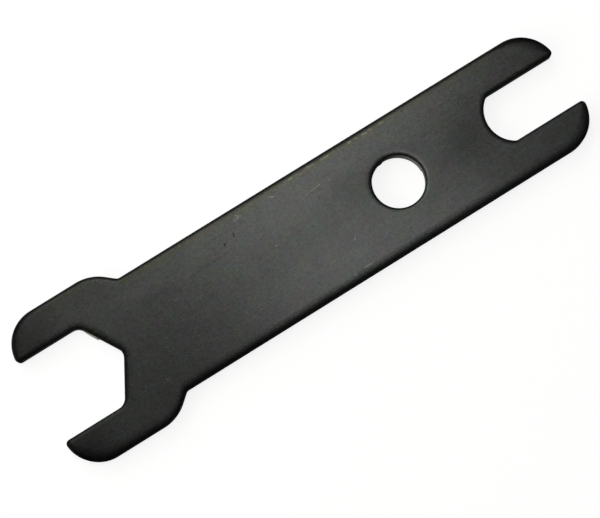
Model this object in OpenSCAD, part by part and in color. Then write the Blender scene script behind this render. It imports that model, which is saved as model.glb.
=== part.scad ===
// Double ended router wrench, blanked from one piece of steel plate.
// Millimetres. The plate lies flat: X along the handle, Y across it, Z up out of its face.
// The origin is under the middle of the plate, the nut jaw opens to -X and the spindle jaw to +X.

/* [Plate] */
// Length over both ends
plate_length = 163.7; // [155:0.1:185]
// Thickness of the plate
plate_thickness = 3.2; // [2.5:0.1:5]
// Width of the handle
handle_width = 34.7; // [32:0.1:38]
// Width of the head round the nut jaw
head_width = 44.6; // [42:0.1:52]

/* [Nut jaw] */
// Width across the flats of the collet nut
nut_flats = 23.8; // [20:0.1:26]
// Depth of the nut jaw, from the end of the head to the point of its vee
nut_jaw_depth = 25.2; // [22:0.1:30]
// Angle of each face of the vee to the handle, 60 for a hexagonal nut
vee_angle = 60; // [55:1:70]
// Radius in the point of the vee
vee_point_radius = 2.8; // [1.5:0.1:4]
// Radius where the vee meets the sides of the jaw
vee_corner_radius = 3.2; // [1.5:0.1:4]

/* [Spindle jaw] */
// Width across the flats of the spindle
spindle_flats = 14.3; // [11:0.1:15]
// Depth of the spindle jaw, from the end of the handle to its round back
spindle_jaw_depth = 25.2; // [20:0.1:30]
// Radius of the round back, wider than the jaw, so that it clears the spindle
back_radius = 8.4; // [8:0.1:12]
// Radius where the round back meets the sides of the jaw
back_corner_radius = 1.5; // [0.8:0.1:3]

/* [Jaw fit] */
// Room between a jaw and the flats that it grips, both sides together
jaw_clearance = 0.2; // [0.1:0.05:0.5]

/* [Tips] */
// Radius of the outer corners of the head
nut_tip_radius = 9.8; // [8:0.1:10]
// Radius of the outer corners at the spindle end
spindle_tip_radius = 10.2; // [7:0.1:10.5]
// Radius of the inner corner of each arm
tip_corner_radius = 1.2; // [0.8:0.1:1.8]

/* [Shoulder] */
// Length of the head on its full width, from the end of the plate to the shoulder
head_length = 28; // [26:0.1:32]
// Length that the shoulder takes to come down to the handle
shoulder_length = 5.8; // [5:0.1:10]
// Radius over the shoulder
shoulder_radius = 11.5; // [8:0.1:12]
// Radius where the shoulder meets the handle
neck_radius = 1.6; // [1:0.1:3]

/* [Hanging hole] */
// Diameter of the hole
hole_diameter = 14.2; // [6:0.1:18]
// Distance from the spindle end to the middle of the hole
hole_from_end = 53.5; // [45:0.1:75]
// Radius that the punch left round the hole's upper edge
hole_edge_radius = 0.3; // [0.1:0.05:0.5]

/* [Hidden] */
$fn = 128;
plate_colour = [0.3, 0.31, 0.3];

// How far the hole's cutter reaches out of the plate
cut_over = 0.5;
// How far each arc of the edge laps over the flatter stretches beside it, so that they cross
lap = 0.001;
// How far the chord of such an arc is taken on past those crossings
chord_over = 0.5;

half_length = plate_length / 2;
half_handle = handle_width / 2;
half_head = head_width / 2;
half_nut_jaw = (nut_flats + jaw_clearance) / 2;
half_spindle_jaw = (spindle_flats + jaw_clearance) / 2;
vee_x = nut_jaw_depth - half_length;
back_x = half_length - spindle_jaw_depth;
shoulder_x = head_length - half_length;
hole_x = half_length - hole_from_end;
hole_radius = hole_diameter / 2;

// Geometry of the edge. A stretch of it is [start, radius, centre]: the radius is 0 on a
// straight stretch, more than 0 on an arc round metal and less than 0 on an arc round air.
// The edge is followed with the metal on its left, and ends where it starts.

function start_of(stretch) = stretch[0];
function radius_of(stretch) = stretch[1];
function centre_of(stretch) = stretch[2];
function bend_of(stretch) = radius_of(stretch) == 0 ? 0 : 1 / radius_of(stretch);

function unit(v) = v / norm(v);
function across(p) = [p.x, -p.y];
function end_for_end(p) = [-p.x, p.y];

// The straight stretch from p
function straight(p) = [p, 0, p];

// Arc of radius r that rounds the corner at b, between the lines to a and to c,
// and the straight stretch after it
function rounded(a, b, c, r) =
    let (
        u = unit(a - b),
        v = unit(c - b),
        half = acos(u * v) / 2,
        turn = cross(b - a, c - b) > 0 ? 1 : -1,
        reach = r / tan(half)
    )
    [
        [b + u * reach, turn * r, b + unit(u + v) * (r / sin(half) - lap)],
        straight(b + v * reach)
    ];

// Centre of a circle of radius r at height y that touches a larger one from inside,
// on its right, or on its left with side -1
function nested(big, big_radius, r, y, side) =
    [big.x + side * sqrt(pow(big_radius + lap - r, 2) - pow(y - big.y, 2)), y];

// Where that circle touches the larger one
function touch(big, big_radius, small) = big + unit(small - big) * big_radius;

// Centres of a tip's outer arc of radius r and of its inner corner. The arc comes down from
// the side of the arm and goes round the corner's circle, and the further out of the two
// ends the plate.
function tip_centres(half_width, half_jaw, r) =
    let (
        arc_y = half_width - r + lap,
        corner_y = half_jaw + tip_corner_radius - lap,
        reach = nested([0, arc_y], r, tip_corner_radius, corner_y, 1).x,
        arc_x = half_length - (corner_y > arc_y ? reach + tip_corner_radius : r)
    )
    [[arc_x, arc_y], [arc_x + reach, corner_y]];

// Back of the spindle jaw, and the corner where it meets the jaw's side
back_centre = [back_x + back_radius, 0];
back_corner_y = half_spindle_jaw - back_corner_radius + lap;
back_corner = nested(back_centre, back_radius, back_corner_radius, back_corner_y, -1);
back_touch = touch(back_centre, back_radius, back_corner);
spindle_jaw_back = [across(back_touch), -back_radius, back_centre];
spindle_jaw_side = [
    [back_touch, -back_corner_radius, back_corner],
    straight([back_corner.x, half_spindle_jaw])
];

// Tip of an arm of the spindle jaw
spindle_centres = tip_centres(half_handle, half_spindle_jaw, spindle_tip_radius);
spindle_arc = spindle_centres[0];
spindle_corner = spindle_centres[1];
spindle_tip = [
    [[spindle_corner.x, half_spindle_jaw], tip_corner_radius, spindle_corner],
    [touch(spindle_arc, spindle_tip_radius, spindle_corner), spindle_tip_radius, spindle_arc],
    straight([spindle_arc.x, half_handle])
];

// Neck and shoulder, from the handle up to the head
neck_point = [shoulder_x + shoulder_length, half_handle];
shoulder_point = [shoulder_x, half_head];
handle_end = [half_length, half_handle];
head_end = [-half_length, half_head];
shoulder = concat(
    rounded(handle_end, neck_point, shoulder_point, neck_radius),
    rounded(neck_point, shoulder_point, head_end, shoulder_radius)
);

// Tip of an arm of the nut jaw
nut_centres = tip_centres(half_head, half_nut_jaw, nut_tip_radius);
nut_arc = end_for_end(nut_centres[0]);
nut_corner = end_for_end(nut_centres[1]);
nut_tip = [
    [[nut_arc.x, half_head], nut_tip_radius, nut_arc],
    [touch(nut_arc, nut_tip_radius, nut_corner), tip_corner_radius, nut_corner],
    straight([nut_corner.x, half_nut_jaw])
];

// Vee at the back of the nut jaw
vee_point = [vee_x, 0];
vee_corner = [vee_x - half_nut_jaw / tan(vee_angle), half_nut_jaw];
nut_jaw_mouth = [-half_length, half_nut_jaw];
vee_side = rounded(nut_jaw_mouth, vee_corner, vee_point, vee_corner_radius);
vee_back = rounded(vee_corner, vee_point, across(vee_corner), vee_point_radius)[0];

// The same stretch on the other side of the handle, followed from its other end
function other_side(stretch, end) =
    [across(end), radius_of(stretch), across(centre_of(stretch))];

upper = concat(spindle_jaw_side, spindle_tip, shoulder, nut_tip, vee_side);
upper_last = len(upper) - 1;
edge = concat(
    [spindle_jaw_back],
    upper,
    [vee_back],
    [
        for (i = [upper_last : -1 : 0])
            other_side(upper[i], start_of(i == upper_last ? vee_back : upper[i + 1]))
    ]
);
count = len(edge);

function before(i) = edge[(i + count - 1) % count];
function after(i) = edge[(i + 1) % count];
function end_of(i) = start_of(after(i));

// Direction of the edge at point p of a stretch
function heading(stretch, p) =
    let (out = (p - centre_of(stretch)) * sign(radius_of(stretch)))
    unit([-out.y, out.x]);

// What lies between arc i and its chord. The chord is taken further along the arc where the
// neighbour is flatter, so that the arc crosses it.
module bulge(i) {
    stretch = edge[i];
    sharp = abs(bend_of(stretch));
    start = start_of(stretch);
    end = end_of(i);
    from = start - heading(stretch, start) * (sharp > abs(bend_of(before(i))) ? chord_over : 0);
    to = end + heading(stretch, end) * (sharp > abs(bend_of(after(i))) ? chord_over : 0);
    out = unit((start + end) / 2 - centre_of(stretch)) * abs(radius_of(stretch));
    intersection() {
        translate(centre_of(stretch)) circle(r = abs(radius_of(stretch)));
        polygon([from, from + out, to + out, to]);
    }
}

module outline() {
    difference() {
        union() {
            polygon([for (stretch = edge) start_of(stretch)]);
            for (i = [0 : count - 1])
                if (radius_of(edge[i]) > 0) bulge(i);
        }
        for (i = [0 : count - 1])
            if (radius_of(edge[i]) < 0) bulge(i);
    }
}

// The hole, with its upper edge rounded, turned about its axis in one piece
module hanging_hole() {
    edge_centre = [hole_radius + hole_edge_radius, plate_thickness - hole_edge_radius];
    translate([hole_x, 0, 0])
        rotate_extrude()
            difference() {
                union() {
                    translate([0, -cut_over])
                        square([hole_radius, plate_thickness + 2 * cut_over]);
                    translate([0, edge_centre.y])
                        square([edge_centre.x, hole_edge_radius + cut_over]);
                }
                translate(edge_centre) circle(r = hole_edge_radius);
            }
}

// The whole wrench: one blank with its two jaws and its hole
module wrench_plate() {
    color(plate_colour)
        difference() {
            linear_extrude(plate_thickness) outline();
            hanging_hole();
        }
}

wrench_plate();
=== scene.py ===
"""Looks of the router wrench: one punched steel blank with a black oxide finish.

The plate's mesh is drawn here again with what the punch and the finish leave on the real one:
the roll round its upper rim, the burnished and the torn band of its walls, and its burr.
Sizes on the plate are millimetres, and its finished mesh is brought to metres. The studio
round it is in metres.
"""

import logging
import math
from dataclasses import dataclass
from enum import Enum
from typing import NamedTuple

import bmesh
import bpy
from mathutils import Matrix, Vector, noise

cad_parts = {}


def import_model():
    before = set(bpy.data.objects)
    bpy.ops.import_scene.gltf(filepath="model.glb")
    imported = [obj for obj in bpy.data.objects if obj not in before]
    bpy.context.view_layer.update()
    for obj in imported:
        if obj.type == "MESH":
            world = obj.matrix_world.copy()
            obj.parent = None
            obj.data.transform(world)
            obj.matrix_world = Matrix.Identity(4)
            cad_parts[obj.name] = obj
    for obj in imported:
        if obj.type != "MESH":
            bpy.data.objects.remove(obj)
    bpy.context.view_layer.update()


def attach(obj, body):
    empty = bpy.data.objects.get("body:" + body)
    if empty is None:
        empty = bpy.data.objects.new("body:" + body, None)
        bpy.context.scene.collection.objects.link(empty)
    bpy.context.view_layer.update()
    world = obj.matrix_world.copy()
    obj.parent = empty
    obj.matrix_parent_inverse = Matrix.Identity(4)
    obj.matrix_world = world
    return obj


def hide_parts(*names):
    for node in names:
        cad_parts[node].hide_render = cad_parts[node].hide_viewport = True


BMesh = bmesh.types.BMesh
BMVert = bmesh.types.BMVert
BMEdge = bmesh.types.BMEdge
Socket = bpy.types.NodeSocket
Triple = tuple[float, float, float]
Pair = tuple[float, float]

MM = 0.001
PLATE_NODE = "wrench_plate"
BODY = "root"

# Layers of the mesh: two for drawing it, and three that its materials read. The last one says
# how worn a wall is, and on the roll how much painted shade its colour takes.
KIND_LAYER = "kind"
STATION_LAYER = "station"
ROLL_LAYER = "rim_roll"
TORN_LAYER = "torn_wall"
WEAR_AND_SHADE_LAYER = "wall_wear_and_roll_shade"

log = logging.getLogger("router_wrench")


# Outline of the blank

@dataclass(frozen=True)
class Roll:
    """Roll that the punch leaves on the upper rim, and the state of the oxide there.

    It leans: it is wider where the rim looks to -Y than where it looks to +Y. Its dark is the
    painted shade that the roll's colour takes along the rims that look to +Y. On the wall below
    the roll, nuts in the jaws and a hook in the hole rubbed the oxide off.
    """

    width: float
    depth: float
    lean: float
    # Painted shade in the roll's colour along the rims that look to +Y
    dark: float = 1.0
    rubbed: float = 0.0


class EdgeKind(Enum):
    """What a stretch of the edge belongs to, with its roll in millimetres."""

    OUTER = Roll(2.12, 0.37, 0.30)
    NUT_TIP = Roll(2.7, 0.50, 0.25)
    SPINDLE_TIP = Roll(3.2, 0.56, 0.0)
    CORNER = Roll(0.8, 0.34, 0.0)
    NECK = Roll(1.3, 0.32, 0.1)
    JAW = Roll(1.6, 0.29, 0.22, dark=0.5, rubbed=0.16)
    VEE = Roll(2.3, 0.34, 0.10, dark=0.3, rubbed=0.16)
    BACK = Roll(1.25, 0.30, 0.0, dark=0.2, rubbed=0.10)
    HOLE = Roll(1.55, 0.22, 0.38, dark=0.8, rubbed=0.32)


# Number of each kind of edge in the drawing's own layer
KIND_NUMBERS = {kind: number for number, kind in enumerate(EdgeKind)}


@dataclass(frozen=True)
class Stretch:
    """One stretch of the plate's edge, straight or an arc, with the metal on its left."""

    start: Vector
    end: Vector
    kind: EdgeKind
    centre: Vector | None = None
    turn: int = 0

    def radius(self) -> float:
        """Radius of an arc."""
        return (self.start - self.centre).length

    def sweep(self) -> float:
        """Angle of an arc about its centre.

        Returns:
            The angle in radians, more than 0 where the arc turns left.
        """
        a, b = self.start - self.centre, self.end - self.centre
        angle = math.atan2(a.x * b.y - a.y * b.x, a.x * b.x + a.y * b.y)
        return angle % (2 * math.pi) if self.turn > 0 else -((-angle) % (2 * math.pi))


@dataclass(frozen=True)
class BlankOutline:
    """Outline of the blank above its centre line, in millimetres."""

    length: float = 163.7
    handle_width: float = 34.7
    head_width: float = 44.6
    nut_jaw_width: float = 24.0
    nut_jaw_depth: float = 25.2
    vee_angle: float = 60.0
    vee_point_radius: float = 2.8
    vee_corner_radius: float = 3.2
    spindle_jaw_width: float = 14.5
    spindle_jaw_depth: float = 25.2
    back_radius: float = 8.4
    back_corner_radius: float = 1.5
    nut_tip_radius: float = 9.8
    spindle_tip_radius: float = 10.2
    tip_corner_radius: float = 1.2
    head_length: float = 28.0
    shoulder_length: float = 5.8
    shoulder_radius: float = 11.5
    neck_radius: float = 1.6

    def _tip(self, half_width: float, half_jaw: float, radius: float) -> tuple[Vector, Vector, Vector]:
        """Round end of an arm on the +X side.

        Args:
            half_width: from the centre line to the outside of the arm.
            half_jaw: from the centre line to the jaw's side.
            radius: of the outer arc.

        Returns:
            The outer arc's centre, the inner corner's centre and where the two arcs touch.
        """
        arc_y = half_width - radius
        corner_y = half_jaw + self.tip_corner_radius
        reach = math.sqrt((radius - self.tip_corner_radius) ** 2 - (corner_y - arc_y) ** 2)
        out = reach + self.tip_corner_radius if corner_y > arc_y else radius
        arc = Vector((self.length / 2 - out, arc_y, 0))
        corner = Vector((arc.x + reach, corner_y, 0))
        return arc, corner, arc + (corner - arc).normalized() * radius

    @staticmethod
    def _rounded(a: Vector, b: Vector, c: Vector, radius: float, kind: EdgeKind) -> Stretch:
        """Arc that rounds the corner at b between a and c.

        Args:
            a: a point on the edge before the corner.
            b: the corner.
            c: a point on the edge after the corner.
            radius: of the arc.
            kind: what the arc belongs to.

        Returns:
            The arc.
        """
        u, v = (a - b).normalized(), (c - b).normalized()
        half = u.angle(v) / 2
        reach = radius / math.tan(half)
        turn = 1 if (b - a).cross(c - b).z > 0 else -1
        centre = b + (u + v).normalized() * (radius / math.sin(half))
        return Stretch(b + u * reach, b + v * reach, kind, centre, turn)

    def _spindle_arm(self) -> list[Stretch]:
        """Edge of the spindle jaw and of its arm's tip.

        Returns:
            The stretches from the jaw's back to the outside of the arm.
        """
        half_jaw, half_width = self.spindle_jaw_width / 2, self.handle_width / 2
        back_x = self.length / 2 - self.spindle_jaw_depth
        back = Vector((back_x + self.back_radius, 0, 0))
        small_y = half_jaw - self.back_corner_radius
        reach = math.sqrt((self.back_radius - self.back_corner_radius) ** 2 - small_y ** 2)
        small = Vector((back.x - reach, small_y, 0))
        touch = back + (small - back).normalized() * self.back_radius
        side_start = Vector((small.x, half_jaw, 0))
        arc, corner, meet = self._tip(half_width, half_jaw, self.spindle_tip_radius)
        side_end = Vector((corner.x, half_jaw, 0))
        return [
            Stretch(Vector((back_x, 0, 0)), touch, EdgeKind.BACK, back, -1),
            Stretch(touch, side_start, EdgeKind.BACK, small, -1),
            Stretch(side_start, side_end, EdgeKind.JAW),
            Stretch(side_end, meet, EdgeKind.CORNER, corner, 1),
            Stretch(meet, Vector((arc.x, half_width, 0)), EdgeKind.SPINDLE_TIP, arc, 1),
        ]

    def _shoulder(self) -> list[Stretch]:
        """Edge from the handle up to the head.

        Returns:
            The neck's arc, the slope and the shoulder's arc.
        """
        half, top, head = self.length / 2, self.handle_width / 2, self.head_width / 2
        shoulder_x = self.head_length - half
        handle_end, head_end = Vector((half, top, 0)), Vector((-half, head, 0))
        low, high = Vector((shoulder_x + self.shoulder_length, top, 0)), Vector((shoulder_x, head, 0))
        neck = self._rounded(handle_end, low, high, self.neck_radius, EdgeKind.NECK)
        shoulder = self._rounded(low, high, head_end, self.shoulder_radius, EdgeKind.OUTER)
        return [neck, Stretch(neck.end, shoulder.start, EdgeKind.OUTER), shoulder]

    def _nut_arm(self) -> list[Stretch]:
        """Edge of the tip of the nut jaw's arm and of the jaw.

        Returns:
            The stretches from the head's outside to the point of the vee.
        """
        half, head, half_jaw = self.length / 2, self.head_width / 2, self.nut_jaw_width / 2
        arc, corner, meet = (
            Vector((-p.x, p.y, 0)) for p in self._tip(head, half_jaw, self.nut_tip_radius))
        side_start = Vector((corner.x, half_jaw, 0))
        vee = Vector((self.nut_jaw_depth - half, 0, 0))
        cheek = Vector((vee.x - half_jaw / math.tan(math.radians(self.vee_angle)), half_jaw, 0))
        mouth, below = Vector((-half, half_jaw, 0)), Vector((cheek.x, -cheek.y, 0))
        bend = self._rounded(mouth, cheek, vee, self.vee_corner_radius, EdgeKind.JAW)
        point = self._rounded(cheek, vee, below, self.vee_point_radius, EdgeKind.VEE)
        middle = Vector((point.centre.x + self.vee_point_radius, 0, 0))
        return [
            Stretch(Vector((arc.x, head, 0)), meet, EdgeKind.NUT_TIP, arc, 1),
            Stretch(meet, side_start, EdgeKind.CORNER, corner, 1),
            Stretch(side_start, bend.start, EdgeKind.JAW),
            bend,
            Stretch(bend.end, point.start, EdgeKind.VEE),
            Stretch(point.start, middle, EdgeKind.VEE, point.centre, point.turn),
        ]

    def stretches(self) -> list[Stretch]:
        """The edge from the back of the spindle jaw to the point of the vee.

        Returns:
            Its stretches in order.
        """
        spindle, shoulder, nut = self._spindle_arm(), self._shoulder(), self._nut_arm()
        handle = Stretch(spindle[-1].end, shoulder[0].start, EdgeKind.OUTER)
        head = Stretch(shoulder[-1].end, nut[0].start, EdgeKind.OUTER)
        return [*spindle, handle, *shoulder, head, *nut]


# Rim of the blank

# Reaches past which the bell that blends a rim is taken for nothing
BELL_END = 2.5
# The roll's width and depth change along a rim with one wave
WAVES_PER_MM = 0.09
WAVE_START = Vector((3.1, 7.7, 0.4))
WIDTH_WAVE = 0.10
DEPTH_WAVE = 0.12
# Height in the noise between one seed of a rim's waves and the next
SEED_STEP = 3.7
# How near a rim passes by the ends of a lip that is on it
LIP_NEAR = 1.0


@dataclass(frozen=True)
class Lip:
    """Torn lip low on a wall, between two places of the edge with the metal on its left.

    It grows from its start over the length that is its rise, and ends in a tooth.
    """

    start: Pair
    end: Pair
    reach: float
    rise: float
    worn: float


@dataclass(frozen=True)
class Ring:
    """One ring of vertices that is grown on a rim.

    It says where each station lies, how far down the roll and how torn the ring is, and how
    far the oxide is worn at each station, on the roll the painted shade there instead, or None
    where that is as on the ring before.
    """

    places: list[Vector]
    roll: float = 0.0
    torn: float = 0.0
    worn: list[float] | None = None


@dataclass(frozen=True)
class Rim:
    """A closed edge of the blank, station by station, with the metal on its left.

    It has two inward directions: the station's own, and one blended over its neighbourhood.
    """

    places: list[Vector]
    rolls: list[Roll]
    sharp: list[Vector]
    soft: list[Vector]
    width: list[float]
    depth: list[float]

    @staticmethod
    def _blend(values: list[Vector], steps: list[float], reach: float) -> list[Vector]:
        """Averages vectors round a closed rim with a bell.

        Args:
            values: the vector at each station.
            steps: the length from each station to the next.
            reach: of the bell.

        Returns:
            The averages.
        """
        count = len(values)
        blended = []
        for i in range(count):
            total, weight = values[i] * steps[i], steps[i]
            for way in (1, -1):
                far, j = 0.0, i
                while True:
                    far += steps[j] if way > 0 else steps[j - 1]
                    j = (j + way) % count
                    if far > BELL_END * reach:
                        break
                    bell = math.exp(-(far / reach) ** 2) * steps[j]
                    total = total + values[j] * bell
                    weight += bell
            blended.append(total / weight)
        return blended

    @classmethod
    def along(cls, places: list[Vector], rolls: list[Roll], reach: float) -> "Rim":
        """Sets up the rim of a closed loop.

        Args:
            places: the loop's points in order.
            rolls: the nominal roll at each.
            reach: length over which directions and rolls blend.

        Returns:
            The rim.
        """
        count = len(places)
        sharp = []
        for i in range(count):
            ahead = places[(i + 1) % count] - places[i - 1]
            sharp.append(Vector((-ahead.y, ahead.x, 0)).normalized())
        steps = [(places[(i + 1) % count] - places[i]).length for i in range(count)]
        soft = [way.normalized() for way in cls._blend(sharp, steps, reach)]
        nominal = [Vector((r.width * (1 + r.lean * n.y), r.depth, 0)) for r, n in zip(rolls, sharp)]
        width, depth = [], []
        for place, rolled in zip(places, cls._blend(nominal, steps, reach)):
            wave = noise.noise(place * WAVES_PER_MM + WAVE_START)
            width.append(rolled.x * (1 + WIDTH_WAVE * wave))
            depth.append(rolled.y * (1 + DEPTH_WAVE * wave))
        return cls(places, rolls, sharp, soft, width, depth)

    def grown(self, lip: Lip) -> list[float]:
        """How far a lip is grown at each station.

        Args:
            lip: the lip, which may be on another rim.

        Returns:
            Parts from 0 to 1, all 0 where the lip isn't on this rim.
        """
        count = len(self.places)
        grown = [0.0] * count
        ends = []
        for spot in (lip.start, lip.end):
            gaps = [(place - Vector((*spot, 0))).length for place in self.places]
            if min(gaps) > LIP_NEAR:
                return grown
            ends.append(gaps.index(min(gaps)))
        i, last = ends
        far = 0.0
        while i != last:
            grown[i] = min(1.0, far / lip.rise)
            far += (self.places[(i + 1) % count] - self.places[i]).length
            i = (i + 1) % count
        return grown

    def inside(self, i: int, inset: float, z: float) -> Vector:
        """Point at an inset from a station.

        The deeper the inset, the more its direction is that of the rim's neighbourhood, so
        that the rings don't cross inside a small corner.

        Args:
            i: the station.
            inset: into the metal, or out of it where it is less than 0.
            z: height of the point.

        Returns:
            The point.
        """
        part = min(1.0, max(0.0, inset) / self.width[i])
        way = self.sharp[i].lerp(self.soft[i], part).normalized()
        place = self.places[i] + way * inset
        return Vector((place.x, place.y, z))

    def wave(self, i: int, size: float, seed: int) -> float:
        """Smooth noise between -1 and 1 along the rim, with waves of about this size."""
        return noise.noise(self.places[i] / size + Vector((0, 0, seed * SEED_STEP)))


# Finishes

class Fade(NamedTuple):
    """Smooth step between two values, with what comes out before it and after it."""

    start: float
    end: float
    before: float = 0.0
    after: float = 1.0


@dataclass(frozen=True)
class Grain:
    """One noise in a finish.

    Its size is in millimetres, its stretch along each axis, its turn in the plate's plane in
    degrees, and it is read some metres away along X.
    """

    size: float
    detail: float = 2.0
    rough: float = 0.5
    stretch: Triple = (1.0, 1.0, 1.0)
    turn: float = 0.0
    away: float = 0.0


def colour(shade: Triple, gain: float = 1.0) -> tuple[float, float, float, float]:
    """A colour times a gain, with full alpha."""
    return *(gain * channel for channel in shade), 1.0


def metres(*sizes: float) -> list[float]:
    """Sizes in millimetres brought to metres."""
    return [size * MM for size in sizes]


# Places of a colour mix among the sockets of a Mix node
MIX_FACTOR, MIX_FIRST, MIX_SECOND, MIX_RESULT = 0, 6, 7, 2


class Shade:
    """Short ways to place and join shader nodes in one tree."""

    def __init__(self, tree: bpy.types.NodeTree) -> None:
        """Keeps the tree that the nodes go into."""
        self.tree = tree

    def wire(self, node: bpy.types.Node, inputs: dict) -> None:
        """Sets inputs of a node to plain values, or links them to outputs.

        Args:
            node: the node.
            inputs: what each input takes, by its name or its place.
        """
        for name, value in inputs.items():
            if isinstance(value, Socket):
                self.tree.links.new(value, node.inputs[name])
            else:
                node.inputs[name].default_value = value

    def add(self, kind: str, inputs: dict, **settings: object) -> bpy.types.bpy_prop_collection:
        """Adds a node.

        Args:
            kind: of the node.
            inputs: what each input takes, by its name or its place.
            settings: the node's properties.

        Returns:
            The node's outputs.
        """
        node = self.tree.nodes.new(kind)
        for name, value in settings.items():
            setattr(node, name, value)
        self.wire(node, inputs)
        return node.outputs

    def math(self, operation: str, *values: object, clamp: bool = False) -> Socket:
        """Result of a Math node."""
        return self.add("ShaderNodeMath", dict(enumerate(values)), operation=operation, use_clamp=clamp)[0]

    def vector(self, operation: str, *values: object, output: str = "Vector") -> Socket:
        """One of the outputs of a Vector Math node."""
        return self.add("ShaderNodeVectorMath", dict(enumerate(values)), operation=operation)[output]

    def ramp(self, value: Socket, fade: Fade) -> Socket:
        """A value taken through a smooth step."""
        inputs = dict(zip(("Value", "From Min", "From Max", "To Min", "To Max"), (value, *fade)))
        return self.add("ShaderNodeMapRange", inputs, interpolation_type="SMOOTHSTEP")["Result"]

    def mix(self, factor: object, first: object, second: object, blend: str = "MIX") -> Socket:
        """Mixture of two colours, where the factor is the share of the second."""
        inputs = {MIX_FACTOR: factor, MIX_FIRST: first, MIX_SECOND: second}
        return self.add("ShaderNodeMix", inputs, data_type="RGBA", blend_type=blend)[MIX_RESULT]

    def noise(self, place: Socket, grain: Grain, output: str = "Fac") -> Socket:
        """Places a noise that lies on the plate.

        Args:
            place: position on the plate.
            grain: what the noise is like.
            output: name of the output that is wanted.

        Returns:
            That output.
        """
        turned = self.add("ShaderNodeMapping", {
            "Vector": place, "Scale": [grain.size * MM * way for way in grain.stretch],
            "Rotation": (0, 0, math.radians(grain.turn)), "Location": (grain.away, 0, 0),
        }, vector_type="TEXTURE")[0]
        inputs = {"Vector": turned, "Scale": 1.0, "Detail": grain.detail, "Roughness": grain.rough}
        return self.add("ShaderNodeTexNoise", inputs)[output]

    def attribute(self, name: str) -> Socket:
        """Value of one of the mesh's layers."""
        return self.add("ShaderNodeAttribute", {}, attribute_name=name)["Fac"]

    def group(self, name: str, inputs: dict) -> bpy.types.bpy_prop_collection:
        """Outputs of one of the shared node groups, placed in this tree."""
        return self.add("ShaderNodeGroup", inputs, node_tree=bpy.data.node_groups[name])

    def seen(self) -> Socket:
        """Finds the rays that show the background: from the camera, mirrored or let through.

        Returns:
            1 for such a ray and 0 for any other.
        """
        path = self.add("ShaderNodeLightPath", {})
        either = self.math("MAXIMUM", path["Is Camera Ray"], path["Is Glossy Ray"])
        return self.math("MAXIMUM", either, path["Is Transmission Ray"])


def emptied(data: bpy.types.Material | bpy.types.World) -> Shade:
    """Empties the tree of a new material or world.

    Args:
        data: the material or the world.

    Returns:
        The helper for its nodes.
    """
    data.use_nodes = True
    data.node_tree.nodes.clear()
    return Shade(data.node_tree)


def place_object(name: str, data: bpy.types.ID) -> bpy.types.Object:
    """Adds an object to the scene.

    Args:
        name: of the object.
        data: its mesh, camera or lamp.

    Returns:
        The object.
    """
    made = bpy.data.objects.new(name, data)
    bpy.context.scene.collection.objects.link(made)
    return made


def new_group(name: str, inputs: dict[str, str], outputs: dict[str, str],
              ) -> tuple[Shade, bpy.types.bpy_prop_collection, bpy.types.Node]:
    """Starts a shader node group.

    Args:
        name: of the group.
        inputs: kinds of socket by their names.
        outputs: kinds of socket by their names.

    Returns:
        The helper for its nodes, what the group is given and the node that its results go to.
    """
    group = bpy.data.node_groups.new(name, "ShaderNodeTree")
    for way, sockets in (("INPUT", inputs), ("OUTPUT", outputs)):
        for label, kind in sockets.items():
            group.interface.new_socket(name=label, in_out=way, socket_type="NodeSocket" + kind)
    s = Shade(group)
    return s, s.add("NodeGroupInput", {}), group.nodes.new("NodeGroupOutput")


def mark_group() -> None:
    """Builds the mask of one mark: what lies near the straight line between two places."""
    s, given, out = new_group(
        "surface_mark",
        {"Position": "Vector", "Start": "Vector", "End": "Vector", "Half Width": "Float",
         "Break Up": "Float"},
        {"Mask": "Float"})
    reach = s.vector("SUBTRACT", given["End"], given["Start"])
    off = s.vector("SUBTRACT", given["Position"], given["Start"])
    along = s.math("DIVIDE", s.vector("DOT_PRODUCT", off, reach, output="Value"),
                   s.vector("DOT_PRODUCT", reach, reach, output="Value"), clamp=True)
    nearest = s.add("ShaderNodeVectorMath", {0: reach, "Scale": along}, operation="SCALE")[0]
    gap = s.vector("LENGTH", s.vector("SUBTRACT", off, nearest), output="Value")
    near = s.ramp(s.math("DIVIDE", gap, given["Half Width"]), Fade(1.0, 0.25))
    grains = s.ramp(s.noise(given["Position"], Grain(0.34, detail=3.0)), Fade(0.40, 0.56))
    kept = s.math("MAXIMUM", grains, s.math("SUBTRACT", 1.0, given["Break Up"]))
    s.wire(out, {"Mask": s.math("MULTIPLY", near, kept)})


# Shares of the grain's tone: sand, spots, blotches, and the lines that rolling left along the plate
TONE_SHARES = {
    Grain(0.25, detail=2.0, rough=0.6): 1.0,
    Grain(1.1, detail=3.0): 0.30,
    Grain(9.0, detail=3.0): 0.12,
    Grain(0.8, detail=2.0, stretch=(16.0, 1.0, 1.0)): 0.08,
}
# Light specks: how far apart they may be in millimetres, how few are chosen and how big they are
SPECK_GAP = 1.5
SPECK_CHOICE = Fade(0.78, 1.0)
SPECK_EDGE = Fade(0.16, 0.05)


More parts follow.
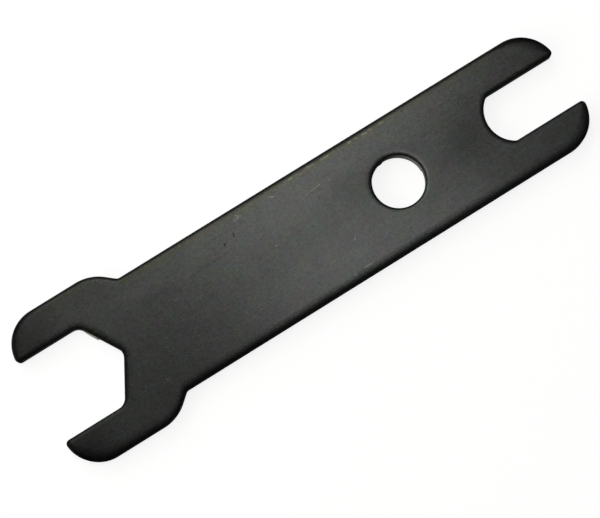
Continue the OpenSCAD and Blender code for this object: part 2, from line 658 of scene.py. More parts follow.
def grain_group() -> None:
    """Builds the fine grain of the oxide and of the steel under it."""
    s, given, out = new_group(
        "oxide_grain",
        {"Position": "Vector"},
        {"Tone": "Float", "Tint": "Color", "Specks": "Float", "Height": "Float"})
    place = given["Position"]
    coarse = s.noise(place, Grain(3.2, detail=1.0), "Color")
    fine = s.noise(place, Grain(0.42, detail=1.0, away=5.0), "Color")

    tone: Socket | float = 0.0
    for grain, share in TONE_SHARES.items():
        off_middle = s.math("SUBTRACT", s.noise(place, grain), 0.5)
        tone = s.math("ADD", tone, s.math("MULTIPLY", off_middle, share))

    cells = s.add("ShaderNodeTexVoronoi", {"Vector": place, "Scale": 1 / (SPECK_GAP * MM)}, feature="F1")
    pick = s.vector("DOT_PRODUCT", cells["Color"], (1, 0, 0), output="Value")
    dot = s.ramp(cells["Distance"], SPECK_EDGE)
    swell = s.math("MULTIPLY", s.noise(place, Grain(3.5)), 1.5)
    s.wire(out, {
        "Tone": tone,
        "Tint": s.mix(0.5, coarse, fine),
        "Specks": s.math("MULTIPLY", s.ramp(pick, SPECK_CHOICE), dot),
        "Height": s.math("ADD", s.noise(place, Grain(0.16)), swell),
    })


def hairline_group() -> None:
    """Builds the thin handling scratches that run roughly along the plate."""
    s, given, out = new_group("hairlines", {"Position": "Vector"}, {"Mask": "Float"})
    place = given["Position"]
    one = s.noise(place, Grain(0.35, detail=0.0, stretch=(22.0, 1.0, 1.0), turn=7.0))
    two = s.noise(place, Grain(0.30, detail=0.0, stretch=(18.0, 1.0, 1.0), turn=-31.0))
    both = s.math("MAXIMUM", s.ramp(one, Fade(0.735, 0.78)), s.ramp(two, Fade(0.745, 0.79)))
    s.wire(out, {"Mask": both})


def painted_sheen_group() -> None:
    """Builds the mask of one patch of painted sheen or shade: 1 in its middle, 0 at its reach."""
    s, given, out = new_group(
        "painted_sheen_patch", {"Position": "Vector", "Centre": "Vector", "Reach": "Vector"}, {"Mask": "Float"})
    off = s.vector("SUBTRACT", given["Position"], given["Centre"])
    far = s.vector("LENGTH", s.vector("DIVIDE", off, given["Reach"]), output="Value")
    s.wire(out, {"Mask": s.ramp(far, Fade(1.0, 0.0))})


class MarkKind(Enum):
    """What a mark has done to the finish."""

    # Straw marks: oxide thinned to a straw colour, and along the rims that look to +Y a painted highlight
    STRAW = "oxide thinned to a straw colour"
    FLECK = "rubbed through to bare steel"
    SCRATCH = "scraped light"
    PIT = "dark pit"


@dataclass(frozen=True)
class Mark:
    """One mark on the upper face, in millimetres."""

    start: Pair
    end: Pair
    half_width: float
    break_up: float
    strength: float


MARKS = {
    MarkKind.STRAW: (
        # Painted highlight: the two long ones, a warm lighter band on rims that look to +Y
        Mark((-47.0, 15.75), (66.0, 15.75), 1.40, 0.25, 0.22),
        Mark((-71.0, 20.7), (-57.5, 20.7), 1.20, 0.25, 0.20),
        Mark((-61.6, 9.7), (-60.2, 6.9), 0.60, 0.30, 1.0),
    ),
    MarkKind.FLECK: (
        Mark((2.6, 16.0), (3.4, 15.9), 0.30, 0.3, 0.22),
        Mark((4.0, 15.9), (5.0, 15.9), 0.42, 0.3, 0.42),
        Mark((6.2, 15.9), (7.6, 15.5), 0.30, 0.9, 0.18),
        Mark((9.8, 16.1), (11.5, 16.0), 0.40, 0.5, 0.50),
        Mark((14.1, 15.9), (16.3, 15.9), 0.42, 0.6, 0.48),
        Mark((17.0, 16.0), (18.0, 16.0), 0.30, 0.9, 0.25),
        Mark((22.7, 15.9), (23.1, 15.9), 0.42, 0.1, 0.60),
        Mark((24.7, 15.9), (25.2, 15.9), 0.34, 0.2, 0.36),
        Mark((26.8, 15.9), (28.1, 15.6), 0.36, 0.4, 0.52),
        Mark((28.9, 16.0), (29.7, 15.9), 0.34, 0.3, 0.44),
        Mark((32.3, 15.9), (33.4, 15.9), 0.36, 0.3, 0.50),
    ),
    MarkKind.SCRATCH: (
        Mark((1.6, -14.9), (4.2, -15.1), 0.26, 0.9, 0.35),
        Mark((5.1, -14.9), (5.9, -15.0), 0.24, 0.2, 0.75),
        Mark((8.6, -14.6), (10.5, -14.7), 0.24, 0.5, 0.55),
        Mark((-19.2, -14.5), (-14.0, -14.8), 0.30, 1.0, 0.16),
        Mark((4.6, 9.8), (6.7, 9.9), 0.14, 0.3, 0.30),
        Mark((7.4, 10.05), (10.3, 10.5), 0.15, 0.2, 0.55),
        Mark((-3.2, 14.8), (-2.5, 14.4), 0.14, 0.2, 0.35),
        Mark((-2.5, 14.4), (-1.9, 14.1), 0.22, 0.1, 0.80),
        Mark((-14.0, 14.2), (-11.8, 14.4), 0.60, 0.9, 0.34),
        Mark((-13.1, 15.2), (-12.5, 14.8), 0.24, 0.5, 0.45),
        Mark((12.9, 10.3), (13.3, 9.9), 0.34, 0.8, 0.26),
        Mark((-8.15, 2.65), (-8.05, 2.6), 0.28, 0.0, 0.70),
        Mark((10.3, -7.05), (10.4, -6.85), 0.24, 0.0, 0.60),
        Mark((10.4, -6.85), (10.7, -6.4), 0.16, 0.2, 0.35),
        Mark((20.3, -6.8), (19.9, -7.6), 0.26, 0.5, 0.25),
        Mark((4.95, -9.5), (5.05, -9.5), 0.24, 0.0, 0.38),
        Mark((17.9, -10.2), (18.9, -9.9), 0.28, 0.8, 0.25),
        Mark((-50.9, -11.8), (-50.1, -13.8), 0.24, 0.6, 0.26),
        Mark((-50.2, -11.9), (-49.6, -12.9), 0.18, 0.6, 0.20),
        Mark((-43.95, 2.0), (-43.85, 2.0), 0.22, 0.0, 0.28),
        Mark((-38.4, 4.3), (-37.2, 4.3), 0.36, 0.8, 0.18),
        Mark((47.3, 12.1), (49.8, 12.1), 0.16, 0.6, 0.35),
    ),
    MarkKind.PIT: (
        Mark((-15.95, 11.5), (-16.25, 10.7), 0.32, 0.0, 0.70),
        Mark((-19.45, 10.2), (-19.65, 9.9), 0.34, 0.0, 0.75),
        Mark((-31.5, 7.4), (-18.6, 8.1), 0.42, 0.3, 0.20),
    ),
}


@dataclass(frozen=True)
class PaintedSheenPatch:
    """A patch of painted sheen or painted shade in the upper face's colour, in millimetres."""

    centre: Pair
    reach: Pair
    gain: float


# Painted sheen and painted shade: a gain above 0 lightens the upper face's colour, below 0 darkens it
PAINTED_SHEEN = (
    PaintedSheenPatch((-44.0, -14.0), (44.0, 34.0), -0.34),
    PaintedSheenPatch((-82.0, 0.0), (22.0, 44.0), -0.38),
    PaintedSheenPatch((52.0, 16.0), (40.0, 10.0), 0.22),
    PaintedSheenPatch((38.0, -16.0), (22.0, 9.0), 0.16),
    PaintedSheenPatch((14.0, 6.0), (14.0, 8.0), -0.09),
    PaintedSheenPatch((48.0, 0.0), (12.0, 9.0), -0.18),
    PaintedSheenPatch((-80.0, -19.0), (14.0, 8.0), -0.36),
    PaintedSheenPatch((84.0, 8.0), (12.0, 9.0), -0.30),
    PaintedSheenPatch((-47.0, 12.0), (13.0, 3.6), 0.12),
    PaintedSheenPatch((-41.0, 7.4), (9.0, 3.2), -0.10),
    PaintedSheenPatch((20.5, 4.0), (13.0, 10.0), -0.14),
    PaintedSheenPatch((29.5, 8.5), (8.0, 3.5), -0.12),
    PaintedSheenPatch((-77.0, 17.0), (15.0, 9.0), -0.16),
    PaintedSheenPatch((55.0, 0.0), (17.0, 26.0), -0.08),
    PaintedSheenPatch((51.0, 2.0), (11.0, 20.0), -0.06),
    PaintedSheenPatch((-68.0, -21.5), (13.0, 4.0), -0.22),
    PaintedSheenPatch((35.0, 6.0), (6.0, 5.0), -0.10),
)

# A mottle of this grey leaves a colour as it is
MIDDLE_GREY = 0.5


@dataclass(frozen=True)
class BlackOxide:
    """Satin black oxide of the upper face, the roll and the underside.

    The grain moves the tone and the roughness. Painted shade darkens the colour along the roll,
    most where the rim looks to +Y, painted sheen and painted shade patches lighten and darken
    the upper face, and the marks lie on top. Along the middle, hands have dulled the sheen a little.
    """

    name: str = "black_oxide_face"
    oxide: Triple = (0.0350, 0.0369, 0.0367)
    straw_and_highlight_tint: Triple = (1.30, 1.20, 0.50)
    bare: Triple = (0.150, 0.142, 0.100)
    scraped: Triple = (0.120, 0.121, 0.117)
    pit: Triple = (0.003, 0.003, 0.003)
    metallic: float = 0.67
    mottle: float = 0.26
    grain_contrast: float = 1.95
    darkest: float = 0.1
    # Painted shade: the colour darkens toward the roll's outer edge, and more along rims that look to +Y
    painted_roll_shade_fade: Fade = Fade(0.45, 0.85, 1.0, 0.48)
    painted_plus_y_shade_fade: Fade = Fade(0.36, 0.60, 1.0, 0.5)
    speck_strength: float = 0.34
    hairline_strength: float = 0.05
    roughness: float = 0.30
    grain_roughness: float = 0.06
    handled_fade: Fade = Fade(11 * MM, 1 * MM)
    handled_roughness: float = 0.016
    roll_fade: Fade = Fade(0.1, 0.9)
    roll_smoothing: float = 0.08
    scuff_roughness: float = 0.08
    grain_height: float = 0.004

    def _depth(self, s: Shade, place: Socket, tone: Socket, z_top: float) -> Socket:
        """How light the colour is: grain, the roll's painted shade, and painted sheen and shade.

        Args:
            s: the helper for the material's nodes.
            place: position on the plate.
            tone: of the grain.
            z_top: height of the upper face in millimetres.

        Returns:
            What the oxide's colour is multiplied by.
        """
        # Painted shade: the colour darkens toward the roll's outer edge, and more on rims that look to +Y
        roll = s.attribute(ROLL_LAYER)
        dark = s.math("MULTIPLY", roll, s.attribute(WEAR_AND_SHADE_LAYER))
        grain = s.math("ADD", 1.0, s.math("MULTIPLY", tone, self.grain_contrast))
        depth = s.math("MULTIPLY", s.math("MAXIMUM", grain, self.darkest), s.ramp(roll, self.painted_roll_shade_fade))
        depth = s.math("MULTIPLY", depth, s.ramp(dark, self.painted_plus_y_shade_fade))
        # Painted sheen and painted shade: each patch lightens or darkens the colour by its gain
        sheen: Socket | float = 1.0
        for patch in PAINTED_SHEEN:
            mask = s.group("painted_sheen_patch", {
                "Position": place,
                "Centre": metres(*patch.centre, z_top),
                "Reach": metres(*patch.reach, patch.reach[1]),
            })["Mask"]
            sheen = s.math("ADD", sheen, s.math("MULTIPLY", mask, patch.gain))
        return s.math("MULTIPLY", depth, sheen)

    def _marked(self, s: Shade, place: Socket, base: Socket, z_top: float) -> tuple[Socket, Socket]:
        """Lays the marks on the oxide.

        Args:
            s: the helper for the material's nodes.
            place: position on the plate.
            base: colour under the marks.
            z_top: height of the upper face in millimetres.

        Returns:
            The colour with the marks, and the mask of those that scuffed the surface.
        """
        shown = {MarkKind.FLECK: self.bare, MarkKind.SCRATCH: self.scraped, MarkKind.PIT: self.pit}
        scuffed: Socket | float = 0.0
        for kind, marks in MARKS.items():
            for mark in marks:
                whole = s.group("surface_mark", {
                    "Position": place,
                    "Start": metres(*mark.start, z_top),
                    "End": metres(*mark.end, z_top),
                    "Half Width": mark.half_width * MM,
                    "Break Up": mark.break_up,
                })["Mask"]
                mask = s.math("MULTIPLY", whole, mark.strength)
                # Straw marks warm the colour: painted highlight along the +Y rims, thinned oxide by the nut
                # jaw
                if kind is MarkKind.STRAW:
                    base = s.mix(mask, base, colour(self.straw_and_highlight_tint), blend="MULTIPLY")
                else:
                    base = s.mix(mask, base, colour(shown[kind]))
                if kind in (MarkKind.FLECK, MarkKind.SCRATCH):
                    scuffed = s.math("MAXIMUM", scuffed, mask)
        return base, scuffed

    def _rough(self, s: Shade, place: Socket, tone: Socket, scuffed: Socket) -> Socket:
        """Roughness of the surface.

        Args:
            s: the helper for the material's nodes.
            place: position on the plate.
            tone: of the grain.
            scuffed: mask of the marks that scuffed the surface.

        Returns:
            The roughness.
        """
        off_middle = s.math("ABSOLUTE", s.add("ShaderNodeSeparateXYZ", {0: place})["Y"])
        handled = s.ramp(off_middle, self.handled_fade)
        rolled = s.ramp(s.attribute(ROLL_LAYER), self.roll_fade)
        rough = s.math("ADD", self.roughness, s.math("MULTIPLY", tone, self.grain_roughness))
        rough = s.math("ADD", rough, s.math("MULTIPLY", handled, self.handled_roughness))
        rough = s.math("SUBTRACT", rough, s.math("MULTIPLY", rolled, self.roll_smoothing))
        return s.math("ADD", rough, s.math("MULTIPLY", scuffed, self.scuff_roughness), clamp=True)

    def material(self, z_top: float) -> bpy.types.Material:
        """Builds the material.

        Args:
            z_top: height of the upper face in millimetres, on which the marks lie.

        Returns:
            The material.
        """
        material = bpy.data.materials.new(self.name)
        s = emptied(material)
        place = s.add("ShaderNodeTexCoord", {})["Object"]
        grain = s.group("oxide_grain", {"Position": place})
        lines = s.group("hairlines", {"Position": place})["Mask"]

        tint = s.mix(self.mottle, colour((MIDDLE_GREY,) * 3), grain["Tint"])
        tint = s.mix(1.0, tint, colour((1 / MIDDLE_GREY,) * 3), blend="MULTIPLY")
        depth = self._depth(s, place, grain["Tone"], z_top)
        base = s.mix(1.0, s.mix(1.0, colour(self.oxide), depth, blend="MULTIPLY"), tint, blend="MULTIPLY")
        for mask, strength in ((grain["Specks"], self.speck_strength), (lines, self.hairline_strength)):
            base = s.mix(s.math("MULTIPLY", mask, strength), base, colour(self.scraped))
        base, scuffed = self._marked(s, place, base, z_top)
        bump = {"Distance": self.grain_height * MM, "Height": grain["Height"]}
        shader = s.add("ShaderNodeBsdfPrincipled", {
            "Base Color": base,
            "Roughness": self._rough(s, place, grain["Tone"], scuffed),
            "Normal": s.add("ShaderNodeBump", bump)[0],
            "Metallic": self.metallic,
            "Specular IOR Level": 0.0,
        })
        s.add("ShaderNodeOutputMaterial", {"Surface": shader[0]})
        return material


@dataclass(frozen=True)
class ShearedWall:
    """Oxide on the walls: burnished by the punch above, torn below, rubbed off where worn."""

    name: str = "black_oxide_wall"
    burnished: Triple = (0.007, 0.007, 0.0075)
    torn: Triple = (0.015, 0.0145, 0.013)
    rubbed: Triple = (0.52, 0.50, 0.45)
    lines: Grain = Grain(0.12, detail=1.0, stretch=(1.0, 1.0, 30.0))
    line_fade: Fade = Fade(0.3, 0.7)
    line_gain: float = 1.6
    torn_gains: Pair = (0.7, 1.4)
    rough_fade: Fade = Fade(0.0, 1.0, 0.32, 0.62)
    bump_height: float = 0.012

    def material(self) -> bpy.types.Material:
        """Builds the material.

        Returns:
            The material.
        """
        material = bpy.data.materials.new(self.name)
        s = emptied(material)
        place = s.add("ShaderNodeTexCoord", {})["Object"]
        grain = s.group("oxide_grain", {"Position": place})
        torn = s.attribute(TORN_LAYER)

        lines = s.noise(place, self.lines)
        smooth = s.mix(s.ramp(lines, self.line_fade),
                       colour(self.burnished), colour(self.burnished, self.line_gain))
        tone = s.math("ADD", 0.5, grain["Tone"], clamp=True)
        rough = s.mix(tone, *(colour(self.torn, gain) for gain in self.torn_gains))
        # On walls this layer is wear. A strip of the roll steep enough to take this finish holds the roll's
        # painted shade, which mixes the rubbed colour in there.
        base = s.mix(s.attribute(WEAR_AND_SHADE_LAYER), s.mix(torn, smooth, rough), colour(self.rubbed))
        bump = {"Distance": self.bump_height * MM, "Height": s.math("ADD", grain["Height"], lines)}
        shader = s.add("ShaderNodeBsdfPrincipled", {
            "Base Color": base,
            "Roughness": s.ramp(torn, self.rough_fade),
            "Normal": s.add("ShaderNodeBump", bump)[0],
            "Specular IOR Level": 0.0,
        })
        s.add("ShaderNodeOutputMaterial", {"Surface": shader[0]})
        return material


# The plate

@dataclass(frozen=True)
class PunchedPlate:
    """The whole wrench, as the punch and the oxide bath leave it, in millimetres."""

    outline: BlankOutline = BlankOutline()
    thickness: float = 3.2
    hole_x: float = 28.35
    hole_radius: float = 7.1

    roll_steps: int = 10
    blend_reach: float = 3.6
    flat_margin: float = 0.05

    # The wall breaks off under its burnished band, along a line that waves
    burnished: float = 1.25
    break_wave: float = 0.22
    break_wave_size: float = 2.2
    break_seed: int = 3
    break_step: float = 0.05

    # Below that it is torn, down to a foot that rolls under to a burr
    torn_rows: int = 6
    torn_inset: float = 0.01
    torn_depth: float = 0.05
    torn_wave_size: float = 0.9
    torn_seed: int = 11
    torn_seed_step: int = 5
    torn_at_break: float = 0.35
    torn_gain: float = 3.0
    swell_gain: float = 4.0
    swell_end: float = 1.15
    foot_radius: float = 0.12
    foot_roll: float = 0.3
    foot_rows: tuple[Pair, ...] = ((0.0, 0.02), (0.06, 0.0), (0.2, 0.03), (0.5, 0.03))

    lips: tuple[Lip, ...] = (
        Lip((-63.9, 11.4), (-60.5, 6.5), 0.35, 3.6, 0.85),
        Lip((26.3, 6.8), (27.9, 7.1), 0.14, 0.6, 0.0),
        Lip((28.1, 7.1), (35.4, -0.5), 0.20, 6.0, 0.42),
    )
    lip_row: int = 3

    line_step: float = 0.45
    fewest_on_line: int = 2
    arc_step: float = 0.28
    fewest_on_arc: int = 4
    hole_points: int = 168
    merge_gap: float = 0.001

    # A face of the mesh gets the wall's finish where it is steep, or lies in the band of the walls
    face_finish: BlackOxide = BlackOxide()
    wall_finish: ShearedWall = ShearedWall()
    wall_slope: float = 0.35
    wall_top: float = 0.2
    band_top: float = 0.6
    band_foot: float = 0.1

    def _draw_stretch(self, bm: BMesh, pen: BMVert, stretch: Stretch) -> BMVert:
        """Draws one stretch of the edge.

        Args:
            bm: the mesh.
            pen: the vertex at the stretch's start.
            stretch: what is drawn.

        Returns:
            The vertex at the stretch's end.
        """
        kind = bm.verts.layers.int[KIND_LAYER]
        known = set(bm.verts)
        if stretch.centre is None:
            reach = stretch.end - stretch.start
            steps = max(self.fewest_on_line, round(reach.length / self.line_step))
            made = bmesh.ops.spin(bm, geom=[pen], axis=(0, 0, 1), dvec=reach / steps, steps=steps)
        else:
            length = abs(stretch.sweep()) * stretch.radius()
            steps = max(self.fewest_on_arc, math.ceil(length / self.arc_step))
            made = bmesh.ops.spin(bm, geom=[pen], cent=stretch.centre, axis=(0, 0, 1),
                                  angle=stretch.sweep(), steps=steps)
        last = next(v for v in made["geom_last"] if isinstance(v, BMVert))
        last.co = stretch.end
        for vert in bm.verts:
            if vert not in known:
                vert[kind] = KIND_NUMBERS[stretch.kind]
        return last

    def _draw_outline(self, bm: BMesh) -> list[BMVert]:
        """Draws the blank's edge as one closed loop.

        Args:
            bm: the mesh.

        Returns:
            The loop's vertices in order.
        """
        stretches = self.outline.stretches()
        pen = bmesh.ops.create_vert(bm, co=stretches[0].start)["vert"][0]
        pen[bm.verts.layers.int[KIND_LAYER]] = KIND_NUMBERS[stretches[0].kind]
        for stretch in stretches:
            pen = self._draw_stretch(bm, pen, stretch)
        bmesh.ops.mirror(bm, geom=bm.verts[:] + bm.edges[:], matrix=Matrix.Identity(4),
                         merge_dist=self.merge_gap, axis="Y")
        bmesh.ops.remove_doubles(bm, verts=bm.verts[:], dist=self.merge_gap)
        start = min(bm.verts, key=lambda v: (v.co - stretches[0].start).length)
        return self._walk(start, Vector((0, 1, 0)))

    def _draw_hole(self, bm: BMesh) -> list[BMVert]:
        """Draws the hole's edge with the metal on its left.

        Args:
            bm: the mesh.

        Returns:
            The loop's vertices in order.
        """
        made = bmesh.ops.create_circle(bm, cap_ends=False, radius=self.hole_radius, segments=self.hole_points,
                                       matrix=Matrix.Translation((self.hole_x, 0, 0)))["verts"]
        for vert in made:
            vert[bm.verts.layers.int[KIND_LAYER]] = KIND_NUMBERS[EdgeKind.HOLE]
        start = max(made, key=lambda v: v.co.x)
        return self._walk(start, Vector((0, -1, 0)))

    @staticmethod
    def _walk(start: BMVert, heading: Vector) -> list[BMVert]:
        """Follows a closed loop of edges.

        Args:
            start: where the walk begins.
            heading: the way that its first step goes.

        Returns:
            The loop's vertices in order.
        """
        beside = (e.other_vert(start) for e in start.link_edges)
        loop = [start, max(beside, key=lambda v: (v.co - start.co).dot(heading))]
        while True:
            here, before = loop[-1], loop[-2]
            onward = next(e.other_vert(here) for e in here.link_edges if e.other_vert(here) is not before)
            if onward is start:
                return loop
            loop.append(onward)

    @staticmethod
    def _grow_ring(bm: BMesh, edges: list[BMEdge], ring: Ring) -> list[BMEdge]:
        """Extrudes a closed loop of edges once and puts the new ring in its place.

        Args:
            bm: the mesh.
            edges: the loop that is extruded.
            ring: what the new ring is to be.

        Returns:
            The edges of the new ring.
        """
        station = bm.verts.layers.int[STATION_LAYER]
        roll, torn, worn = (bm.verts.layers.float[name] for name in (ROLL_LAYER, TORN_LAYER, WEAR_AND_SHADE_LAYER))
        made = bmesh.ops.extrude_edge_only(bm, edges=edges)["geom"]
        verts = {g for g in made if isinstance(g, BMVert)}
        for vert in verts:
            i = vert[station]
            vert.co = ring.places[i]
            vert[roll] = ring.roll
            vert[torn] = ring.torn
            if ring.worn is not None:
                vert[worn] = ring.worn[i]
        return [g for g in made if isinstance(g, BMEdge) and set(g.verts) <= verts]

    def _grow_roll(self, bm: BMesh, edges: list[BMEdge], rim: Rim) -> list[BMEdge]:
        """Grows the roll, from the wall up to the flat.

        Args:
            bm: the mesh.
            edges: the rim's edge.
            rim: the rim.

        Returns:
            The ring on the upper face.
        """
        stations = range(len(rim.places))
        # Painted shade that the roll's colour takes, along the rims that look to +Y
        dark = [max(0.0, -way.y) * roll.dark for way, roll in zip(rim.soft, rim.rolls)]
        top = edges
        for step in range(1, self.roll_steps + 1):
            angle = math.radians(90 * (1 - step / self.roll_steps))
            inset, drop = 1 - math.sin(angle), 1 - math.cos(angle)
            places = [rim.inside(i, inset * rim.width[i], self.thickness - drop * rim.depth[i])
                      for i in stations]
            top = self._grow_ring(bm, top, Ring(places, roll=math.sin(angle), worn=dark))
        places = [rim.inside(i, rim.width[i] + self.flat_margin, self.thickness) for i in stations]
        return self._grow_ring(bm, top, Ring(places))

    def _grow_wall(self, bm: BMesh, edges: list[BMEdge], rim: Rim) -> list[BMEdge]:
        """Grows the wall: its burnished band, its torn band with the lips, and its foot.

        Args:
            bm: the mesh.
            edges: the rim's edge.
            rim: the rim.

        Returns:
            The ring on the underside.
        """
        stations = range(len(rim.places))
        out = [0.0 for _ in stations]
        worn = [roll.rubbed for roll in rim.rolls]
        for lip in self.lips:
            for i, part in enumerate(rim.grown(lip)):
                out[i] = max(out[i], lip.reach * part)
                worn[i] = worn[i] + (lip.worn - worn[i]) * part

        breaks = [self.thickness - self.burnished
                  + self.break_wave * rim.wave(i, self.break_wave_size, self.break_seed) for i in stations]
        places = [rim.inside(i, 0.0, breaks[i] + self.break_step) for i in stations]
        low = self._grow_ring(bm, edges, Ring(places, roll=1.0))
        for row in range(self.torn_rows + 1):
            part = row / self.torn_rows
            # Smooth at the break, roughest in the middle and again smoother at the foot
            swell = min(1.0, self.swell_gain * part * (self.swell_end - part))
            seed = self.torn_seed + self.torn_seed_step * row
            places = []
            for i in stations:
                rough = self.torn_depth * abs(rim.wave(i, self.torn_wave_size, seed)) * swell
                lip = out[i] if row >= self.lip_row else 0.0
                z = breaks[i] + (self.foot_radius - breaks[i]) * part
                places.append(rim.inside(i, self.torn_inset + rough - lip, z))
            torn = self.torn_at_break + (1 - self.torn_at_break) * min(1.0, self.torn_gain * part)
            low = self._grow_ring(bm, low, Ring(places, roll=1.0, torn=torn, worn=worn))
        for inset, z in self.foot_rows:
            places = [rim.inside(i, self.torn_inset + inset - out[i], z) for i in stations]
            low = self._grow_ring(bm, low, Ring(places, roll=self.foot_roll))
        return low

    def _grow_rim(self, bm: BMesh, loop: list[BMVert]) -> tuple[list[BMEdge], list[BMEdge]]:
        """Grows the roll and the wall from a loop of the blank's edge.

        Args:
            bm: the mesh.
            loop: the loop's vertices in order.

        Returns:
            The innermost ring of the upper face, and that of the underside.
        """
        kind, station = (bm.verts.layers.int[name] for name in (KIND_LAYER, STATION_LAYER))
        roll, worn = (bm.verts.layers.float[name] for name in (ROLL_LAYER, WEAR_AND_SHADE_LAYER))
        kinds = list(EdgeKind)
        rolls = [kinds[vert[kind]].value for vert in loop]
        rim = Rim.along([vert.co.copy() for vert in loop], rolls, self.blend_reach)
        for i, vert in enumerate(loop):
            vert[station] = i
            vert[roll] = 1.0
            vert[worn] = rolls[i].rubbed
            vert.co.z = self.thickness - rim.depth[i]
        edges = sorted({edge for vert in loop for edge in vert.link_edges},
                       key=lambda edge: min(vert[station] for vert in edge.verts))
        return self._grow_roll(bm, edges, rim), self._grow_wall(bm, edges, rim)

    def build(self) -> bpy.types.Object:
        """Makes the plate's object, its rims, its two faces and its smooth shading.

        Returns:
            The object.
        """
        bm = bmesh.new()
        for name in (KIND_LAYER, STATION_LAYER):
            bm.verts.layers.int.new(name)
        for name in (ROLL_LAYER, TORN_LAYER, WEAR_AND_SHADE_LAYER):
            bm.verts.layers.float.new(name)
        loops = [self._draw_outline(bm), self._draw_hole(bm)]
        rims = [self._grow_rim(bm, loop) for loop in loops]
        walls = len(bm.faces)
        for rings in zip(*rims):
            edges = [e for ring in rings for e in ring]
            bmesh.ops.triangle_fill(bm, use_beauty=False, use_dissolve=False, edges=edges, normal=(0, 0, 1))
        log.info("plate: %d faces in the rims and %d in the flats", walls, len(bm.faces) - walls)
        bmesh.ops.recalc_face_normals(bm, faces=bm.faces[:])
        bmesh.ops.scale(bm, vec=(MM, MM, MM), verts=bm.verts[:])

        mesh = bpy.data.meshes.new("punched_plate")
        bm.to_mesh(mesh)
        bm.free()
        for name in (KIND_LAYER, STATION_LAYER):
            mesh.attributes.remove(mesh.attributes[name])
        mesh.shade_smooth()
        return place_object(mesh.name, mesh)

    def dress(self, piece: bpy.types.Object) -> None:
        """Gives the plate its finishes: oxide on its faces and its roll, sheared metal on its walls.

        Args:
            piece: the plate's object.
        """
        for material in (self.face_finish.material(self.thickness), self.wall_finish.material()):
            piece.data.materials.append(material)
        wall = piece.data.materials.find(self.wall_finish.name)
        for polygon in piece.data.polygons:
            height = polygon.center.z / MM
            steep = abs(polygon.normal.z) < self.wall_slope and height < self.thickness - self.wall_top
            if steep or self.band_foot < height < self.thickness - self.band_top:
                polygon.material_index = wall


# Camera and studio

@dataclass(frozen=True)
class PhotoCamera:
    """Camera at the photograph's view of the wrench, with its place in millimetres."""

    place: Triple = (-39.432, -68.477, 485.698)
    right: Triple = (0.84784507, -0.53014616, -0.01018782)
    up: Triple = (0.52545404, 0.83745417, 0.15022835)
    lens: float = 111.526
    sensor: float = 36.0
    near: float = 0.01
    far: float = 20.0

    def build(self) -> bpy.types.Object:
        """Makes the camera and gives it to the scene.

        Returns:
            The camera.
        """
        data = bpy.data.cameras.new("photo_camera")
        data.lens, data.sensor_width, data.sensor_fit = self.lens, self.sensor, "HORIZONTAL"
        data.clip_start, data.clip_end = self.near, self.far
        camera = place_object("photo_camera", data)
        right = Vector(self.right).normalized()
        back = right.cross(Vector(self.up)).normalized()
        turned = Matrix((right, back.cross(right), back)).transposed().to_4x4()
        camera.matrix_world = Matrix.Translation(Vector(self.place) * MM) @ turned
        bpy.context.scene.camera = camera
        return camera


@dataclass(frozen=True)
class Softbox:
    """One square studio lamp that looks at the part, in metres."""

    name: str
    towards: Triple
    distance: float
    size: float
    power: float
    tint: Triple = (1.0, 1.0, 1.0)

    def build(self) -> None:
        """Makes the lamp."""
        data = bpy.data.lights.new(self.name, "AREA")
        data.shape, data.size = "SQUARE", self.size
        data.energy, data.color = self.power, self.tint
        way = Vector(self.towards).normalized()
        turned = way.to_track_quat("Z", "Y").to_matrix().to_4x4()
        place_object(self.name, data).matrix_world = Matrix.Translation(way * self.distance) @ turned


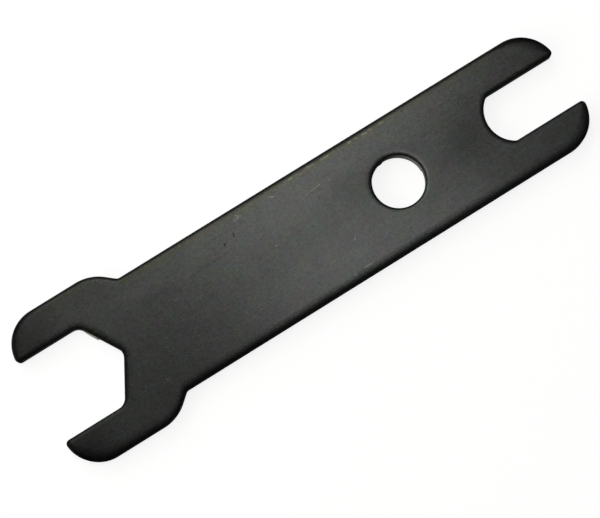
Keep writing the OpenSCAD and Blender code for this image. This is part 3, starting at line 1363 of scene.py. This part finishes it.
@dataclass(frozen=True)
class Studio:
    """Plain pale floor, soft lamps and a dim room with a white foot, in metres."""

    floor_size: float = 6.0
    floor_colour: Triple = (0.22, 0.22, 0.22)
    floor_glow: float = 0.84
    room: float = 0.05
    foot_fade: Fade = Fade(0.22, 0.06)
    lamps: tuple[Softbox, ...] = (
        Softbox("key_overhead", (0.094, 0.130, 0.900), 0.915, 0.09, 1.0, (1.0, 0.99, 0.95)),
        Softbox("upper_box", (0.00, 0.42, 1.00), 1.1, 0.5, 1.76, (1.0, 0.97, 0.86)),
        Softbox("low_upper", (0.04, 0.93, 0.36), 1.3, 1.2, 11.3),
        Softbox("low_upper_left", (-0.75, 0.55, 0.36), 1.3, 1.2, 9.6),
        Softbox("low_left", (-0.90, -0.12, 0.42), 1.3, 0.8, 5.6),
    )

    def _floor(self) -> bpy.types.Object:
        """Makes the pale floor, which keeps the part's shadow.

        Returns:
            The floor.
        """
        bm = bmesh.new()
        bmesh.ops.create_grid(bm, x_segments=1, y_segments=1, size=self.floor_size / 2)
        mesh = bpy.data.meshes.new("floor")
        bm.to_mesh(mesh)
        bm.free()
        material = bpy.data.materials.new("pale_floor")
        mesh.materials.append(material)
        s = emptied(material)
        matt = s.add("ShaderNodeBsdfDiffuse", {"Color": colour(self.floor_colour)})[0]
        glow = s.add("ShaderNodeEmission", {"Strength": s.math("MULTIPLY", s.seen(), self.floor_glow)})[0]
        both = s.add("ShaderNodeAddShader", {0: matt, 1: glow})[0]
        s.add("ShaderNodeOutputMaterial", {"Surface": both})
        return place_object("floor", mesh)

    def _room(self) -> None:
        """Sets the world: a dim room whose foot is white where the background is seen."""
        world = bpy.data.worlds.new("room")
        bpy.context.scene.world = world
        s = emptied(world)
        apart = s.add("ShaderNodeSeparateXYZ", {0: s.add("ShaderNodeTexCoord", {})["Generated"]})
        white = s.math("MULTIPLY", s.seen(), s.ramp(apart["Z"], self.foot_fade))
        strength = s.math("ADD", self.room, s.math("MULTIPLY", white, 1.0 - self.room))
        light = s.add("ShaderNodeBackground", {"Strength": strength})[0]
        s.add("ShaderNodeOutputWorld", {"Surface": light})

    def build(self) -> None:
        """Makes floor, lamps and room, and sets the plain view transform."""
        self._floor()
        for lamp in self.lamps:
            lamp.build()
        self._room()
        bpy.context.scene.view_settings.view_transform = "Standard"


def main() -> None:
    """Builds the camera, the plate and the studio, and reports each."""
    logging.basicConfig(level=logging.INFO, format="%(name)s: %(message)s")
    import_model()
    camera = PhotoCamera().build()
    log.info("%s: %.1f mm lens", camera.name, camera.data.lens)
    for make in (mark_group, grain_group, hairline_group, painted_sheen_group):
        make()
    plate = PunchedPlate()
    piece = plate.build()
    plate.dress(piece)
    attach(piece, BODY)
    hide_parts(PLATE_NODE)
    log.info("%s: %d vertices, %d faces", piece.name, len(piece.data.vertices), len(piece.data.polygons))
    studio = Studio()
    studio.build()
    log.info("studio: %d lamps", len(studio.lamps))


if __name__ == "__main__":
    main()
